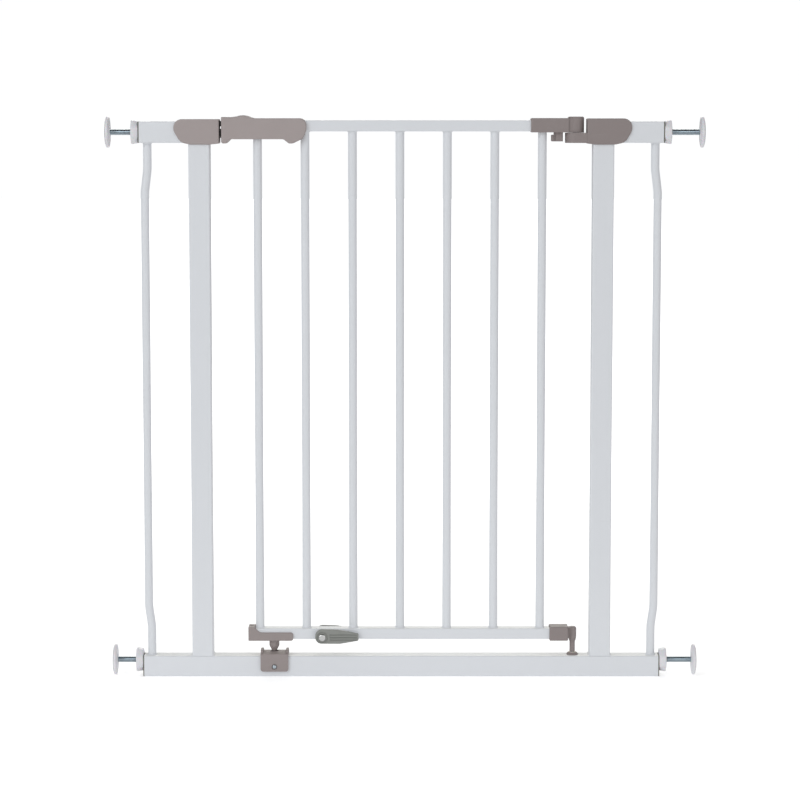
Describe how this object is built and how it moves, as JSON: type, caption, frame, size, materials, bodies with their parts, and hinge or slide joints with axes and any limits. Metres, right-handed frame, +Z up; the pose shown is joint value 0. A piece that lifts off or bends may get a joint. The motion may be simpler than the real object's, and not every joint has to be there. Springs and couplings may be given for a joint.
{
  "type": "stair safety gate",
  "caption": "Pressure-fit stair gate: a barred panel that lifts off a catch block and swings once its thumb latch is drawn back, held between walls by threaded feet with hand nuts.",
  "frame": {"origin": "middle of the bottom tube's underside", "axes": "+Z up, +X along the bottom tube from the latch side to the hinge side, -Y is the front"},
  "size_m": [0.7873, 0.0406, 0.7481],
  "materials": {
    "white_paint": "satin white powder coat",
    "taupe_plastic": "fine-grained warm grey moulding",
    "hinge_plastic": "fine-grained darker warm grey moulding",
    "dark_plastic": "hard dark moulding",
    "plug_plastic": "grey moulding",
    "zinc_steel": "bright zinc plate",
    "white_plastic": "white moulding",
    "lever_plastic": "grey moulding",
    "pad_rubber": "soft grey rubber",
    "bush_nylon": "natural nylon",
    "rivet_chrome": "bright rivet",
    "spring_steel": "drawn spring wire"
  },
  "bodies": {
    "frame": {"bottom_tube": "white_paint", "left_upright": "white_paint", "right_upright": "white_paint", "left_top_tube": "white_paint", "right_top_tube": "white_paint", "left_side_bar": "white_paint", "right_side_bar": "white_paint", "end_plugs": "plug_plastic", "keeper_front_shell": "taupe_plastic", "keeper_rear_shell": "taupe_plastic", "hinge_bracket_front_shell": "hinge_plastic", "hinge_bracket_rear_shell": "hinge_plastic", "keeper_insert": "dark_plastic", "bracket_screws": "zinc_steel", "upper_hinge_pin": "zinc_steel", "foot_collar": "hinge_plastic", "catch_block": "taupe_plastic", "catch_screw": "zinc_steel"},
    "hinge_bushes": {"upper_hinge_bush": "bush_nylon", "lower_hinge_bush": "bush_nylon"},
    "gate": {"top_rail": "white_paint", "bottom_rail": "white_paint", "bar_1": "white_paint", "bar_2": "white_paint", "bar_3": "white_paint", "bar_4": "white_paint", "bar_5": "white_paint", "bar_6": "white_paint", "bar_7": "white_paint", "hinge_sleeve": "hinge_plastic", "gate_screws": "zinc_steel", "lower_hinge_elbow": "hinge_plastic", "lower_hinge_pin": "hinge_plastic", "corner_bracket": "taupe_plastic", "drop_peg": "taupe_plastic", "handle_front_shell": "taupe_plastic", "handle_rear_shell": "taupe_plastic", "latch_guide": "dark_plastic", "return_spring": "spring_steel", "lever_rivet": "rivet_chrome"},
    "latch_slide": {"latch_carriage": "dark_plastic", "thumb_button": "taupe_plastic"},
    "front_stop": {"front_stop_lever": "lever_plastic"},
    "rear_stop": {"rear_stop_lever": "lever_plastic"},
    "top_left_hand_nut": {"top_left_nut": "white_plastic"},
    "top_left_wall_foot": {"top_left_spindle": "zinc_steel", "top_left_cup": "white_plastic", "top_left_pad": "pad_rubber"},
    "top_right_hand_nut": {"top_right_nut": "white_plastic"},
    "top_right_wall_foot": {"top_right_spindle": "zinc_steel", "top_right_cup": "white_plastic", "top_right_pad": "pad_rubber"},
    "bottom_left_hand_nut": {"bottom_left_nut": "white_plastic"},
    "bottom_left_wall_foot": {"bottom_left_spindle": "zinc_steel", "bottom_left_cup": "white_plastic", "bottom_left_pad": "pad_rubber"},
    "bottom_right_hand_nut": {"bottom_right_nut": "white_plastic"},
    "bottom_right_wall_foot": {"bottom_right_spindle": "zinc_steel", "bottom_right_cup": "white_plastic", "bottom_right_pad": "pad_rubber"}
  },
  "joints": [
    {"name": "gate_swing", "type": "hinge", "parent": "frame", "child": "hinge_bushes", "pos_m": [0.2296, 0, 0], "axis": [0, 0, 1], "range_deg": [-90, 90]},
    {"name": "gate_lift", "type": "slide", "parent": "hinge_bushes", "child": "gate", "axis": [0, 0, 1], "range_m": [0, 0.01]},
    {"name": "thumb_slide", "type": "slide", "parent": "gate", "child": "latch_slide", "axis": [1, 0, 0], "range_m": [0, 0.009], "stiffness_N_per_m": 250, "springref_m": -0.006, "deforming": ["return_spring"]},
    {"name": "front_stop_turn", "type": "hinge", "parent": "gate", "child": "front_stop", "pos_m": [-0.1058, 0, 0.0538], "axis": [0, 1, 0], "range_deg": [0, 90]},
    {"name": "rear_stop_turn", "type": "hinge", "parent": "gate", "child": "rear_stop", "pos_m": [-0.1058, 0, 0.0538], "axis": [0, 1, 0], "range_deg": [0, 90]},
    {"name": "top_left_nut_turn", "type": "hinge", "parent": "frame", "child": "top_left_hand_nut", "pos_m": [-0.3527, 0, 0.726], "axis": [1, 0, 0], "range_deg": [-7461, 4350]},
    {"name": "top_left_spindle_slide", "type": "slide", "parent": "frame", "child": "top_left_wall_foot", "axis": [-1, 0, 0], "range_m": [-0.0259, 0.0151]},
    {"name": "top_right_nut_turn", "type": "hinge", "parent": "frame", "child": "top_right_hand_nut", "pos_m": [0.3527, 0, 0.726], "axis": [-1, 0, 0], "range_deg": [-10254, 1557]},
    {"name": "top_right_spindle_slide", "type": "slide", "parent": "frame", "child": "top_right_wall_foot", "axis": [1, 0, 0], "range_m": [-0.0356, 0.0054]},
    {"name": "bottom_left_nut_turn", "type": "hinge", "parent": "frame", "child": "bottom_left_hand_nut", "pos_m": [-0.3527, 0, 0.021], "axis": [1, 0, 0], "range_deg": [-6654, 5157]},
    {"name": "bottom_left_spindle_slide", "type": "slide", "parent": "frame", "child": "bottom_left_wall_foot", "axis": [-1, 0, 0], "range_m": [-0.0231, 0.0179]},
    {"name": "bottom_right_nut_turn", "type": "hinge", "parent": "frame", "child": "bottom_right_hand_nut", "pos_m": [0.3527, 0, 0.021], "axis": [-1, 0, 0], "range_deg": [-9217, 2593]},
    {"name": "bottom_right_spindle_slide", "type": "slide", "parent": "frame", "child": "bottom_right_wall_foot", "axis": [1, 0, 0], "range_m": [-0.032, 0.009]}
  ],
  "couplings": [
    {"joint": "top_left_nut_turn", "follows": "top_left_spindle_slide", "rad_per_m": 5026.5},
    {"joint": "top_right_nut_turn", "follows": "top_right_spindle_slide", "rad_per_m": 5026.5},
    {"joint": "bottom_left_nut_turn", "follows": "bottom_left_spindle_slide", "rad_per_m": 5026.5},
    {"joint": "bottom_right_nut_turn", "follows": "bottom_right_spindle_slide", "rad_per_m": 5026.5}
  ]
}
